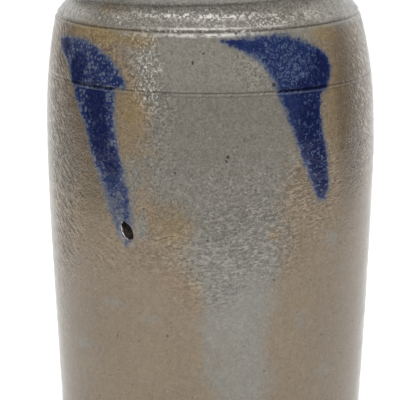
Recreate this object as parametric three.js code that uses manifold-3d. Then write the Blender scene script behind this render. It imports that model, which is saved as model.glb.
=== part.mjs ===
// Salt-glazed stoneware storage crock with a drop-in stoneware lid.
// Millimetres, +Z up. The origin is the centre of the flat foot, and the front of the crock faces -Y.
import * as THREE from "three";
import { mergeVertices } from "three/addons/utils/BufferGeometryUtils.js";
import Module from "manifold-3d";

// Crock wall and floor
const crockHeight = 260; // foot to rim top
const bellyRadius = 86; // widest outside radius
const footRadius = 78.5;
const footBevel = 2;
const wallThickness = 8;
const floorThickness = 10;
const floorFillet = 14; // round between the floor and the wall, inside
const lowerFullness = 1.3; // power of the curve from belly to foot
const upperFullness = 2.7; // power of the curve from belly to shoulder

// Heights, stacked downwards from the rim top
const collarHeight = 21.5; // rim top to the collar's lower edge
const shoulderRise = 12; // collar's lower edge to the shoulder line
const leafBand = 29.5; // shoulder line to the incised line
const bellyDrop = 40; // incised line to the widest point

// Shoulder, collar and rim
const shoulderRadius = 79;
const neckRadius = 72.5; // bottom of the cove under the collar
const collarFootRadius = 74;
const collarLip = 1.6; // height of the collar's lower edge
const rimRadius = 76.5;
const rimRound = 4; // outer edge of the rim top
const mouthRadius = 63;
const mouthRound = 1.5; // inner edge of the rim top
const seatWidth = 5; // ledge that carries the lid
const seatDepth = 8; // rim top down to the ledge
const innerShoulderDrop = 16; // shoulder line down to where the inside starts to close in

// Tooled lines
const lineWidth = 1.6;
const lineDepth = 0.7;

// Fired coatings
const coatGap = 0.3; // clearance between a coating and the clay
const liningThickness = 0.8;
const liningStop = 4; // lid ledge down to the lining's upper edge
const cobaltThickness = 0.5;

// Brushed leaves, each a head stroke above the incised line and a stem stroke below it.
// A row crosses the stroke, from its near edge to its far edge. An edge point is its distance along
// the wall from the stem's foot, then its height over the incised line.
const shortLeaf = {
  head: [
    [[-57, 24.7], [-57, 25.3]],
    [[-49, 21.8], [-46, 26.4]],
    [[-42.6, 18.5], [-33, 27.2]],
    [[-37.4, 14.6], [-20, 26.6]],
    [[-33.2, 9.2], [-7, 22]],
    [[-29.6, 4], [3.8, 16]],
    [[-28.2, 0.5], [7.4, 8.4]],
    [[-27.4, -2.2], [4.4, -2.2]],
  ],
  stem: [
    [[-27.4, -2.2], [-1, -2.2]],
    [[-24.6, -10], [-2.8, -10]],
    [[-21, -18], [-2, -19]],
    [[-17.7, -27.2], [-0.4, -27.5]],
    [[-14.1, -36.7], [1.3, -37]],
    [[-10.4, -43.2], [2, -44.8]],
    [[-6.2, -51.4], [2.5, -51]],
    [[-2.6, -58.6], [-0.2, -58.6]],
  ],
};
const longLeaf = {
  head: [
    [[-57.6, 18.6], [-57.4, 20.2]],
    [[-54.5, 15.2], [-45, 21.6]],
    [[-49.5, 11.8], [-34.5, 22.2]],
    [[-44.6, 9.2], [-26, 21]],
    [[-41.6, 5.4], [-16.3, 17.6]],
    [[-39.6, 1.5], [-8.6, 12.8]],
    [[-38.2, -1], [-3, 5.6]],
    [[-37.2, -2.2], [-0.6, 0.2]],
  ],
  stem: [
    [[-33, -1.8], [-6.2, -0.6]],
    [[-30.2, -6.4], [-7.3, -5]],
    [[-25.8, -14.9], [-7.1, -14]],
    [[-22.3, -23.6], [-5.8, -21.7]],
    [[-18.5, -35.4], [-2.9, -33.6]],
    [[-14.6, -44.1], [-0.7, -42.5]],
    [[-10.8, -52.9], [1.2, -51.5]],
    [[-8.5, -61.8], [2.2, -60.6]],
    [[-6.1, -67.7], [3.4, -67.5]],
    [[-3, -75], [2.4, -75]],
  ],
};
// Angles run in degrees round from the front, towards +X
const leaves = [
  { pattern: shortLeaf, stemAngle: 42 },
  { pattern: shortLeaf, stemAngle: 118 },
  { pattern: longLeaf, stemAngle: 188 },
  { pattern: shortLeaf, stemAngle: 260 },
  { pattern: longLeaf, stemAngle: 330 },
];

// Iron stone burnt out of the clay below the leaf at the front left
const stoneAngle = -28.7; // degrees round from the front
const stoneDrop = 72; // below the incised line
const stoneTilt = 20; // degrees off the upright
const stoneHalfWidth = 4;
const stoneHalfHeight = 6.6;
const stoneHalfDepth = 2.6;
const stoneSink = 2.2; // wall face down to the stone's middle
const stoneGap = 0.3;
const leafClearance = 1.2; // a leaf stops this far short of the stone's pit

// Lid and knob
const lidClearance = 0.8; // all round, to the rim
const lidSeatGap = 0.3;
const lidEdge = 6.5; // thickness at the edge
const lidEdgeRound = 2;
const lidFlange = 9; // flat border of the lid's top
const lidThickness = 7; // between the dished top and the hollow underside
const lidDome = 3.5; // rise of the middle above the border
const lidHollow = 2.5; // rise of the underside
const lidFoot = 7; // width of the ring that sits on the ledge
const knobHeight = 22;
const knobFootRadius = 12;
const knobWaistRadius = 8.5;
const knobCapRadius = 16;
const knobCapThickness = 11;
const knobCrownRadius = 8; // where the thumb hollow starts
const knobHollow = 2; // thumb hollow in the top
const knobSocketDepth = 2;
const knobGap = 0.3;

// Tessellation
const turnSegments = 48;
const knobSegments = 28;
const wallSteps = 6;
const curveSteps = 4;
const strokeSteps = 14;
const stoneAround = 16;
const stoneRings = 10;

// Levels worked out from the sizes above
const neckZ = crockHeight - collarHeight;
const shoulderZ = neckZ - shoulderRise;
const incisedZ = shoulderZ - leafBand;
const bellyZ = incisedZ - bellyDrop;
const seatZ = crockHeight - seatDepth;
const seatRadius = mouthRadius + seatWidth;

const wasm = await Module();
wasm.setup();

const point = (radius, z) => new THREE.Vector2(radius, z);
const radians = THREE.MathUtils.degToRad;

// Outside radius of the clay wall between the foot and the shoulder line
function wallRadius(z) {
  if (z <= bellyZ) {
    const share = (bellyZ - z) / bellyZ;
    return bellyRadius - (bellyRadius - footRadius) * share ** lowerFullness;
  }
  const share = (z - bellyZ) / (shoulderZ - bellyZ);
  return bellyRadius - (bellyRadius - shoulderRadius) * share ** upperFullness;
}

// Points of a quarter round or any other arc in the profile plane
function arc(centreRadius, centreZ, radius, fromAngle, toAngle, steps = curveSteps) {
  const points = [];
  for (let i = 0; i <= steps; i += 1) {
    const angle = radians(fromAngle + ((toAngle - fromAngle) * i) / steps);
    points.push(point(centreRadius + radius * Math.cos(angle), centreZ + radius * Math.sin(angle)));
  }
  return points;
}

// The wall's outside from one level to another
function wallPoints(fromZ, toZ) {
  const points = [];
  for (let i = 0; i <= wallSteps; i += 1) {
    const z = fromZ + ((toZ - fromZ) * i) / wallSteps;
    points.push(point(wallRadius(z), z));
  }
  return points;
}

// A V-shaped tooled line round the wall
function linePoints(z, depth) {
  const half = lineWidth / 2;
  return [
    point(wallRadius(z - half), z - half),
    point(wallRadius(z) - depth, z),
    point(wallRadius(z + half), z + half),
  ];
}

const lowerWall = () => wallPoints(footBevel, bellyZ);

// The wall from just above the belly to just below the shoulder line, past the incised line
function upperWall(cutDepth) {
  const clear = wallPoints(bellyZ, shoulderZ - lineWidth).filter(
    ({ y }) => y > bellyZ && Math.abs(y - incisedZ) > lineWidth,
  );
  return [...clear, ...linePoints(incisedZ, cutDepth)].sort((a, b) => a.y - b.y);
}

// The profile pushed sideways by a distance, to its right as the points run
function offsetProfile(points, distance) {
  const direction = (from, to) => to.clone().sub(from).normalize();
  const last = points.length - 1;
  return points.map((here, i) => {
    const into = direction(points[Math.max(0, i - 1)], points[Math.max(1, i)]);
    const out = direction(points[Math.min(last - 1, i)], points[Math.min(last, i + 1)]);
    const along = into.clone().add(out).normalize();
    const reach = distance / along.dot(into);
    return point(here.x + along.y * reach, here.y - along.x * reach);
  });
}

// A body of revolution about Z from a profile of radius and height
function turned(profile, segments = turnSegments) {
  return new THREE.LatheGeometry(profile, segments).rotateX(Math.PI / 2);
}

// A closed geometry as a solid that can be joined and cut
function solidOf(geometry) {
  const bare = geometry.index ? geometry.toNonIndexed() : geometry.clone();
  bare.deleteAttribute("normal");
  bare.deleteAttribute("uv");
  const merged = mergeVertices(bare, 1e-4);
  const corners = merged.index.array;
  const triangles = [];
  for (let i = 0; i < corners.length; i += 3) {
    const [a, b, c] = [corners[i], corners[i + 1], corners[i + 2]];
    if (a !== b && b !== c && c !== a) triangles.push(a, b, c);
  }
  const mesh = new wasm.Mesh({
    numProp: 3,
    vertProperties: new Float32Array(merged.attributes.position.array),
    triVerts: new Uint32Array(triangles),
  });
  return new wasm.Manifold(mesh);
}

function geometryOf(solid) {
  const mesh = solid.getMesh();
  const geometry = new THREE.BufferGeometry();
  geometry.setAttribute("position", new THREE.BufferAttribute(new Float32Array(mesh.vertProperties), 3));
  geometry.setIndex(new THREE.BufferAttribute(new Uint32Array(mesh.triVerts), 1));
  geometry.computeVertexNormals();
  return geometry;
}

// Outside of the clay from the foot's centre to the crown of the rim
function outsideProfile() {
  return [
    point(0, 0),
    point(wallRadius(footBevel) - footBevel, 0),
    ...lowerWall(),
    ...upperWall(lineDepth),
    point(wallRadius(shoulderZ) - lineDepth, shoulderZ),
    ...shoulderPoints(),
    ...collarPoints(),
  ];
}

// The rounded shoulder above its tooled line, running into the cove under the collar
function shoulderPoints() {
  const startZ = shoulderZ + lineWidth / 2;
  const shoulder = new THREE.CubicBezierCurve(
    point(shoulderRadius, startZ),
    point(shoulderRadius - (shoulderRadius - neckRadius) / 3, startZ + shoulderRise / 3),
    point(neckRadius, neckZ - shoulderRise / 3),
    point(neckRadius, neckZ),
  );
  return shoulder.getPoints(curveSteps);
}

// The collar's swelling outer face and the round of the rim top
function collarPoints() {
  const face = new THREE.QuadraticBezierCurve(
    point(collarFootRadius, neckZ + collarLip),
    point(rimRadius, (neckZ + crockHeight) / 2),
    point(rimRadius, crockHeight - rimRound),
  );
  const round = arc(rimRadius - rimRound, crockHeight - rimRound, rimRound, 0, 90);
  return [...face.getPoints(curveSteps), ...round.slice(1)];
}

// Inside of the clay from the ledge's inner corner down to the floor's centre
function insideProfile() {
  const closeZ = shoulderZ - innerShoulderDrop;
  const innerRadius = (z) => wallRadius(z) - wallThickness;
  const closing = new THREE.CubicBezierCurve(
    point(mouthRadius, neckZ),
    point(mouthRadius, shoulderZ),
    point(innerRadius(closeZ), shoulderZ),
    point(innerRadius(closeZ), closeZ),
  );
  const filletZ = floorThickness + floorFillet;
  const wall = [];
  for (let i = 1; i < wallSteps; i += 1) {
    const z = closeZ + ((filletZ - closeZ) * i) / wallSteps;
    wall.push(point(innerRadius(z), z));
  }
  const filletRadius = innerRadius(filletZ) - floorFillet;
  return [
    point(mouthRadius, seatZ),
    ...closing.getPoints(curveSteps),
    ...wall,
    ...arc(filletRadius, filletZ, floorFillet, 0, -90),
    point(0, floorThickness),
  ];
}

function crockProfile() {
  const rimInside = arc(seatRadius + mouthRound, crockHeight - mouthRound, mouthRound, 90, 180, 2);
  return [...outsideProfile(), ...rimInside, point(seatRadius, seatZ), ...insideProfile()];
}

// An egg-shaped stone turned to its place in the wall
function stoneShape(grow) {
  const middleZ = incisedZ - stoneDrop;
  const middleRadius = wallRadius(middleZ) - stoneSink;
  const egg = new THREE.SphereGeometry(1, stoneAround, stoneRings);
  egg.scale(stoneHalfWidth + grow, stoneHalfDepth + grow, stoneHalfHeight + grow);
  egg.rotateY(radians(-stoneTilt));
  egg.translate(0, -middleRadius, middleZ);
  egg.rotateZ(radians(stoneAngle));
  return egg;
}

function crockGeometry() {
  return geometryOf(solidOf(turned(crockProfile())).subtract(solidOf(stoneShape(0))));
}

// Brown slip poured round the inside: a skin that follows the floor, the wall and the mouth
function liningGeometry() {
  const inside = insideProfile();
  inside[0] = point(mouthRadius, seatZ - liningStop);
  const outer = offsetProfile(inside, coatGap);
  const inner = offsetProfile(inside, coatGap + liningThickness);
  outer.at(-1).x = 0;
  inner.at(-1).x = 0;
  return turned([...outer.reverse(), ...inner]);
}

// One brush stroke as a flat outline: smooth curves along its two edges
function strokeShape(rows, toPlane) {
  const edge = (side) => {
    const places = rows.map((row) => new THREE.Vector3(row[side][0], row[side][1], 0));
    return new THREE.CatmullRomCurve3(places).getPoints(strokeSteps).map(({ x, y }) => toPlane(x, y));
  };
  return new THREE.Shape([...edge(0), ...edge(1).reverse()]);
}

// A thin coat all round the leaf band, from which the leaves are cut
function cobaltCoat() {
  const face = [...lowerWall().slice(wallSteps / 2), ...upperWall(0)];
  const inner = offsetProfile(face, coatGap);
  const outer = offsetProfile(face, coatGap + cobaltThickness);
  return solidOf(turned([...outer, ...inner.reverse(), outer[0]]));
}

// A leaf is cut from the coat by its two strokes, seen square on from in front of the leaf's middle
function leafGeometry(coat, pattern, stemAngle) {
  const places = [...pattern.head, ...pattern.stem].flat().map(([x]) => x);
  const middle = (Math.min(...places) + Math.max(...places)) / 2;
  const toPlane = (x, z) => point(bellyRadius * Math.sin((x - middle) / bellyRadius), incisedZ + z);
  const facing = radians(stemAngle) + middle / bellyRadius;
  const stroke = (rows) => {
    const depth = 2 * bellyRadius;
    const cutter = new THREE.ExtrudeGeometry(strokeShape(rows, toPlane), { depth, bevelEnabled: false });
    return solidOf(cutter.rotateX(Math.PI / 2).rotateZ(facing));
  };
  const leaf = coat.intersect(stroke(pattern.head).add(stroke(pattern.stem)));
  return geometryOf(leaf.subtract(solidOf(stoneShape(leafClearance))));
}

// The lid stands on its own ring, at height 0
function lidProfile() {
  const radius = seatRadius - lidClearance;
  const middleZ = lidEdge + lidDome;
  const socketRadius = knobFootRadius + knobGap;
  const flangeRadius = radius - lidFlange;
  const dome = new THREE.CubicBezierCurve(
    point(flangeRadius, lidEdge),
    point(flangeRadius - lidFlange, middleZ),
    point(socketRadius + lidFlange, middleZ),
    point(socketRadius, middleZ),
  );
  return [
    point(0, middleZ - lidThickness),
    point(radius - 2 * lidFoot, lidHollow),
    point(radius - lidFoot, 0),
    point(radius - lidEdgeRound / 2, 0),
    point(radius, lidEdgeRound / 2),
    ...arc(radius - lidEdgeRound, lidEdge - lidEdgeRound, lidEdgeRound, 0, 90),
    ...dome.getPoints(curveSteps),
    point(socketRadius, middleZ - knobSocketDepth),
    point(0, middleZ - knobSocketDepth),
  ];
}

// The knob stands on its own foot, at height 0
function knobProfile() {
  const capZ = knobHeight - knobCapThickness / 2;
  const waist = new THREE.CubicBezierCurve(
    point(knobFootRadius, knobSocketDepth),
    point(knobWaistRadius, knobSocketDepth),
    point(knobWaistRadius, capZ - knobCapThickness / 2),
    point(knobCapRadius, capZ),
  );
  const crown = new THREE.CubicBezierCurve(
    point(knobCapRadius, capZ),
    point(knobCapRadius, knobHeight),
    point((knobCapRadius + knobCrownRadius) / 2, knobHeight),
    point(knobCrownRadius, knobHeight),
  );
  return [
    point(0, 0),
    point(knobFootRadius, 0),
    ...waist.getPoints(curveSteps),
    ...crown.getPoints(curveSteps).slice(1),
    point(0, knobHeight - knobHollow),
  ];
}

// Finishes
const stoneware = new THREE.MeshStandardMaterial({ color: "#87806f", roughness: 0.35, metalness: 0 });
const brownSlip = new THREE.MeshStandardMaterial({ color: "#4a2d1c", roughness: 0.25, metalness: 0 });
const cobalt = new THREE.MeshStandardMaterial({ color: "#25305f", roughness: 0.3, metalness: 0 });
const ironStone = new THREE.MeshStandardMaterial({ color: "#2a1a14", roughness: 0.3, metalness: 0 });

function piece(name, geometry, material) {
  const mesh = new THREE.Mesh(geometry, material);
  mesh.name = name;
  return mesh;
}

const crock = new THREE.Group();
crock.add(piece("crock_body", crockGeometry(), stoneware));
crock.add(piece("slip_lining", liningGeometry(), brownSlip));
crock.add(piece("iron_stone", stoneShape(-stoneGap), ironStone));
const coat = cobaltCoat();
leaves.forEach(({ pattern, stemAngle }, i) => {
  crock.add(piece(`cobalt_leaf_${i + 1}`, leafGeometry(coat, pattern, stemAngle), cobalt));
});

// The lid rests on the ledge, and its knob stands in the socket
const lid = new THREE.Group();
lid.position.z = seatZ + lidSeatGap;
const knob = piece("lid_knob", turned(knobProfile(), knobSegments), stoneware);
knob.position.z = lidEdge + lidDome - knobSocketDepth + knobGap;
lid.add(piece("lid_disc", turned(lidProfile()), stoneware), knob);
crock.add(lid);

export default crock;
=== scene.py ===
"""Salt-glazed stoneware crock with brushed cobalt leaves, a brown slip lining and a drop-in lid."""

import math

import bpy
import numpy as np
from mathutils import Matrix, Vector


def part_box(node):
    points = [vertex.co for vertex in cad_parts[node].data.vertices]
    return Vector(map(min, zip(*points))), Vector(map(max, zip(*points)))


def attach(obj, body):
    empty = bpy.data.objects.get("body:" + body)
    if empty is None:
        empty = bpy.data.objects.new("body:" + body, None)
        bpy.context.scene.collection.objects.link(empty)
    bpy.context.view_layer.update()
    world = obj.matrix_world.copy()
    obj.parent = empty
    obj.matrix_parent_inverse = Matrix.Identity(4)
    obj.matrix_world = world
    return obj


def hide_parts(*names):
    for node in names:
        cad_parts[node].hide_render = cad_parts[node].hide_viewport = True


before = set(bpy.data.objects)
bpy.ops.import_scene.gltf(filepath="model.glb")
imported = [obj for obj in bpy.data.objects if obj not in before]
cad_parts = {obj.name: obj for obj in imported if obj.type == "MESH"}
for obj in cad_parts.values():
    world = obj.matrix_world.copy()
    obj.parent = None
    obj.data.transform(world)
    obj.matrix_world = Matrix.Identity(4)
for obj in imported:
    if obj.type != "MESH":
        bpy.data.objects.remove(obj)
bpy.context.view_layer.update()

MM = 0.001

# Levels and radii of the thrown body, from its frame node and its tooling
_, BODY_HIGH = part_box("crock_body")
RIM_Z = BODY_HIGH.z
BELLY_R = BODY_HIGH.x
FOOT_R = 78.5 * MM
FOOT_BEVEL = 2.2 * MM
COLLAR_Z = RIM_Z - 21.5 * MM
SHOULDER_Z = COLLAR_Z - 12 * MM
SHOULDER_R = 79 * MM
LINE_Z = SHOULDER_Z - 29.5 * MM
BELLY_Z = LINE_Z - 40 * MM
LOWER_FULLNESS = 1.3
UPPER_FULLNESS = 2.7
SEAT_Z = RIM_Z - 8 * MM
SEAT_R = 68 * MM
MOUTH_R = 63 * MM
WALL = 8 * MM
FLOOR_Z = 10 * MM
FLOOR_FILLET = 14 * MM
# How far under the shoulder line the inside reaches its full width
INNER_SHOULDER = 16 * MM

# Tooled lines: level, width and depth, with a negative depth for a raised bead
SECOND_LINE_Z = LINE_Z - 1.9 * MM
UPPER_BEAD_Z = SHOULDER_Z + 1.55 * MM
TOOLED_LINES = [
    (LINE_Z, 1.1 * MM, 0.26 * MM),
    (SECOND_LINE_Z, 0.9 * MM, 0.1 * MM),
    (UPPER_BEAD_Z, 1.3 * MM, -0.28 * MM),
    (SHOULDER_Z, 1.5 * MM, 0.6 * MM),
    (SHOULDER_Z - 1.7 * MM, 1.8 * MM, -0.3 * MM),
]

# Lines that are only coloured, as painted highlights: the crest under the shoulder line and a highlight row
# over it, then, under the incised line, a pale edge on the glaze and a fleck-coloured edge on the cobalt
LOWER_CREST_Z = SHOULDER_Z - 1.8 * MM
HIGHLIGHT_ROW_Z = SHOULDER_Z + 7.0 * MM
PALE_EDGE_Z = LINE_Z - 1.0 * MM
LIT_EDGE_IN_COBALT_Z = LINE_Z - 1.5 * MM

# The shoulder above its line, the cove and the collar: radius and level in millimetres
SHOULDER_AND_COLLAR = [
    (79.0, 226.5), (77.6, 228.8), (75.9, 231.0), (74.3, 233.2), (73.0, 235.5), (72.3, 237.5),
    (72.5, 238.5), (73.6, 239.5), (74.8, 242.8), (76.0, 248.2), (76.5, 253.0), (76.0, 257.2),
    (74.6, 259.4), (72.6, 260.0), (70.6, 259.7), (69.0, 258.6), (68.3, 256.6), (68.0, 254.4),
]

# How far the thrown wall leans to the left, in millimetres, and its lines tilt, in degrees, by level
LEAN = ([0, 157, 197, 226, 240, 252], [-0.35, -0.5, 0.1, 1.3, 1.3, 0])
TILT = ([200, 226, 231, 237, 241, 252], [0, 0.6, 0.6, 1.9, 1.9, 0])
SHOULDER_TILT = math.radians(TILT[1][1])
# Swell of the wall out of round, in two and in three lobes, and its throwing ridges
OVAL_SWELL = 0.25 * MM
THREE_LOBED_SWELL = 0.12 * MM
RIDGE = 0.05 * MM
RIDGE_PITCH = 8.5 * MM
# Above the shoulder line, points further out than this are on the outside
COLLAR_SKIN_R = 70.4 * MM
# Levels between which the swell comes in over the foot and goes out under the collar
SWELL_IN = (4 * MM, 30 * MM)
SWELL_OUT = (228 * MM, 246 * MM)

# Brushed leaves. A row crosses a stroke from its near edge to its far edge; an edge point is its
# distance along the wall from the stem's foot, then its height over the incised line, in millimetres.
# The paint washes out between the two depths of the fade; a pool has a middle, half sizes and a strength
SHORT_LEAF = {
    "head": [
        ((-57, 24.7), (-57, 25.3)), ((-49, 21.8), (-46, 26.4)), ((-42.6, 18.5), (-33, 27.2)),
        ((-37.4, 14.6), (-20, 26.6)), ((-33.2, 9.2), (-7, 22)), ((-29.6, 4), (3.8, 16)),
        ((-28.2, 0.5), (6.6, 8.4)), ((-27.4, -2.2), (2.0, -2.2)),
    ],
    "stem": [
        ((-27.4, -2.2), (-1, -2.2)), ((-24.6, -10), (-2.8, -10)), ((-21, -18), (-2, -19)),
        ((-17.7, -27.2), (-0.4, -27.5)), ((-14.1, -36.7), (1.3, -37)), ((-10.4, -43.2), (2, -44.8)),
        ((-7.4, -50.6), (2.7, -50.2)), ((-4.4, -57), (0.8, -57)),
    ],
    "fade": (53, 64),
    "pooled": [
        (0, 9, 9, 13, 0.9), (-8, 0, 15, 6, 0.7), (-9, -16, 10, 18, 0.85), (-4, -38, 9, 19, 0.9),
        (-2, -49, 7, 9, 0.95), (-54, 25, 9, 5, 0.8),
    ],
    "flecks": 0.15,
}
LONG_LEAF = {
    "head": [
        ((-57.6, 18.6), (-57.4, 20.2)), ((-54.5, 15.2), (-45, 21.6)), ((-49.5, 11.8), (-34.5, 22.2)),
        ((-44.6, 9.2), (-26, 21)), ((-41.6, 5.4), (-16.3, 17.6)), ((-39.6, 1.5), (-8.6, 12.8)),
        ((-38.2, -1), (-1.8, 5.6)), ((-37.2, -2.2), (0.8, 0.2)),
    ],
    "stem": [
        ((-35, -1.8), (-5.6, -0.6)), ((-34.6, -6.4), (-6, -5)), ((-29.8, -14.9), (-5.7, -14)),
        ((-25, -23.6), (-5, -21.7)), ((-20.7, -35.4), (-2.5, -33.6)), ((-16.4, -44.1), (-0.2, -42.5)),
        ((-12.6, -52.9), (2.3, -51.5)), ((-10, -61.8), (3.3, -60.6)), ((-7, -67.7), (3.8, -67.5)),
        ((-3.4, -75), (2.4, -75)),
    ],
    "fade": (38, 56),
    "pooled": [
        (-35, 5, 8, 11, 1.0), (-18, -9, 8, 12, 1.0), (-15, -24, 7, 16, 1.0), (-8, -40, 6, 14, 0.8),
        (-52, 17, 10, 8, 0.8), (2, -56, 3.5, 12, 0.8), (-6, -68, 3.5, 4, 0.7),
    ],
    "flecks": 1.0,
}
LEAVES = [(42, SHORT_LEAF), (118, SHORT_LEAF), (188, LONG_LEAF), (260, SHORT_LEAF), (330, LONG_LEAF)]
# A drop of cobalt under the stone's pit: angle in degrees, height over the incised line, radius,
# then how washed out it is and how many radii its pool reaches
DROP = (-29.5, -77.6, 1.3)
DROP_WASH = 0.8
DROP_SPREAD = 1.7
# Box round a leaf and its soft edge, placed like an edge point: left, right, low and high
LEAF_BOX = (-68, 11, -82, 32)
# Points further out than this are on the outside of the wall
LEAF_SKIN_R = 72 * MM
# The film of paint: thickness, margin round a stroke and lift off the wall
FILM = 0.12 * MM
FILM_MARGIN = 2 * MM
FILM_LIFT = 0.03 * MM
# Depths inside a leaf between which the film gets its thickness, and its share at the edge
FILM_EDGE = (-1.5 * MM, 2.5 * MM)
FILM_THINNEST = 0.2
# Range of the attribute that says how far inside a leaf a point lies
COBALT_REACH = 8 * MM

# The burnt-out iron stone and the pit round it, which is dug in a skin of the wall
PIT_ANGLE = math.radians(-29.6)
PIT_Z = LINE_Z - 71.4 * MM
PIT_TILT = math.radians(32)
PIT_HALF_WIDTH = 3.3 * MM
PIT_HALF_HEIGHT = 5.9 * MM
PIT_DEPTH = 2.8 * MM
PIT_SKIN = 5 * MM
PIT_LIP_RISE = 0.18 * MM
# How far round the pit the wall is looked at, and how much the pit's upper end narrows
PIT_REACH = 20 * MM
PIT_NARROWING = 0.35
# In shares of its half sizes: its slope, the middle and width of its lip, and the finer mesh round it
PIT_SLOPE = (0.5, 1.04)
PIT_LIP_MIDDLE = 1.25
PIT_LIP_WIDTH = 0.22
PIT_FINE_MESH = 2.2
STONE_ANGLE = math.radians(-29.5)
STONE_Z = LINE_Z - 72 * MM
STONE_HALF_SIZES = np.array([2.9 * MM, 1.0 * MM, 5.1 * MM])
STONE_SUNK = 1.7 * MM

# Larger iron spots in the clay: angle in degrees, height over the incised line and radius in millimetres
IRON_SPOTS = [
    (5.9, -31.6, 1.0), (5.5, -33.8, 0.9), (72, -44.7, 2.2), (40.2, -71.2, 0.9), (50.3, -70.9, 0.8),
    (-46.4, 23.2, 0.8), (-0.8, -74.1, 0.8), (-5.9, 14.7, 0.9), (-2.2, 19.3, 0.8), (-22.7, -59.4, 0.8),
    (27.3, -66, 0.8), (-34.7, -127.5, 0.8), (22.3, -95.7, 0.8), (-11.6, -39.9, 0.7), (34.5, -110, 0.6),
    (58, -8.4, 0.6), (22, 3.2, 1.3), (105, -48, 1.1), (163, 8, 0.9), (-142, -70, 1.2), (-96, -18, 0.8),
]

# Lid and knob, from their frame nodes
LID_LOW, LID_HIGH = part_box("lid_disc")
KNOB_LOW, KNOB_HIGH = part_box("lid_knob")
LID_R = LID_HIGH.x
KNOB_R = KNOB_HIGH.x

# Brown slip lining: its two faces off the clay, its upper edge under the ledge and its throwing rings
LINING_BACK = 0.3 * MM
LINING_FACE = 1.1 * MM
LINING_TOP = SEAT_Z - 4 * MM
RING_DEPTH = 0.35 * MM
RING_PITCH = 13 * MM
# Levels between which the rings come in over the floor and go out under the shoulder
RINGS_IN = (26 * MM, 60 * MM)
RINGS_OUT = (190 * MM, 215 * MM)
# Rings are on what lies further off the clay than this
RING_SKIN = 0.8 * MM
# Level from which the upper edge runs down unevenly, and how far
EDGE_FROM = 240 * MM
EDGE_DROP = 1.2 * MM

# Mesh steps
BODY_SEGMENTS = 360
LINING_SEGMENTS = 192
LID_SEGMENTS = 240
KNOB_SEGMENTS = 96
FILM_COLUMNS = 26
FILM_STEPS = 14
PIT_CUTS = 4
LOWER_STEP = 2.5 * MM
UPPER_STEP = 1.4 * MM
FINE_STEP = 0.28 * MM


def smooth(low, high, value):
    """Eases from 0 at low to 1 at high."""
    share = np.clip((value - low) / (high - low), 0, 1)
    return share * share * (3 - 2 * share)


def curve_through(points, steps):
    """A smooth curve through the points, with that many steps between each two."""
    points = np.array(points, float)
    ends = np.vstack([2 * points[0] - points[1], points, 2 * points[-1] - points[-2]])
    curve = []
    for i in range(1, len(ends) - 2):
        a, b, c, d = ends[i - 1], ends[i], ends[i + 1], ends[i + 2]
        for t in np.arange(steps) / steps:
            bend = 2 * a - 5 * b + 4 * c - d
            twist = 3 * b - a - 3 * c + d
            curve.append(0.5 * (2 * b + (c - a) * t + bend * t**2 + twist * t**3))
    return np.array(curve + [points[-1]])


def wall_radius(z):
    """Outside radius of the wall from the foot to the shoulder line, without its tooled lines."""
    z = np.asarray(z, float)
    below = np.clip((BELLY_Z - z) / BELLY_Z, 0, 1)
    above = np.clip((z - BELLY_Z) / (SHOULDER_Z - BELLY_Z), 0, 1.2)
    lower = BELLY_R - (BELLY_R - FOOT_R) * below**LOWER_FULLNESS
    upper = BELLY_R - (BELLY_R - SHOULDER_R) * above**UPPER_FULLNESS
    return np.where(z < BELLY_Z, lower, upper)


def tooled_depth(z):
    """How deep the tooled lines cut at a level."""
    return sum(depth * np.exp(-((2 * (z - level) / width) ** 2)) for level, width, depth in TOOLED_LINES)


# Modelling helpers


def deselect():
    bpy.ops.object.select_all(action="DESELECT")


def turned(name, profile, segments):
    """Draws a profile in edit mode, one extrude after another, and spins it round the axis."""
    deselect()
    bpy.ops.mesh.primitive_plane_add(size=MM)
    piece = bpy.context.object
    piece.name = name
    bpy.ops.object.mode_set(mode="EDIT")
    bpy.ops.mesh.select_mode(type="VERT")
    bpy.ops.mesh.select_all(action="SELECT")
    bpy.ops.mesh.merge(type="CENTER")
    bpy.ops.transform.translate(value=(profile[0][0], 0, profile[0][1]))
    for here, there in zip(profile, profile[1:]):
        step = (there[0] - here[0], 0, there[1] - here[1])
        bpy.ops.mesh.extrude_region_move(TRANSFORM_OT_translate={"value": step})
    bpy.ops.mesh.select_all(action="SELECT")
    bpy.ops.mesh.spin(steps=segments, angle=math.tau, center=(0, 0, 0), axis=(0, 0, 1))
    bpy.ops.mesh.select_all(action="SELECT")
    bpy.ops.mesh.remove_doubles(threshold=0.002 * MM)
    bpy.ops.mesh.normals_make_consistent(inside=False)
    bpy.ops.object.mode_set(mode="OBJECT")
    bpy.ops.object.shade_smooth_by_angle(angle=math.radians(50))
    return piece


def points_of(piece):
    points = np.empty(len(piece.data.vertices) * 3)
    piece.data.vertices.foreach_get("co", points)
    return points.reshape(-1, 3)


def move_points(piece, points):
    piece.data.vertices.foreach_set("co", points.ravel())
    piece.data.update()


def round_from_front(points):
    """Angle round the axis from the front, positive towards +X."""
    return np.arctan2(points[:, 0], -points[:, 1])


def radius_of(points):
    return np.hypot(points[:, 0], points[:, 1])


def round_axis(radius, turn, z):
    """Points at a radius, an angle from the front and a level."""
    return np.column_stack([radius * np.sin(turn), -radius * np.cos(turn), z])


def offsets(rows, level, radius=0):
    """Places of a profile, given in millimetres from a level and a radius."""
    return [(radius + out * MM, level + up * MM) for out, up in rows]


def wrapped(angle):
    return (angle + math.pi) % math.tau - math.pi


# The thrown body


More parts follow.
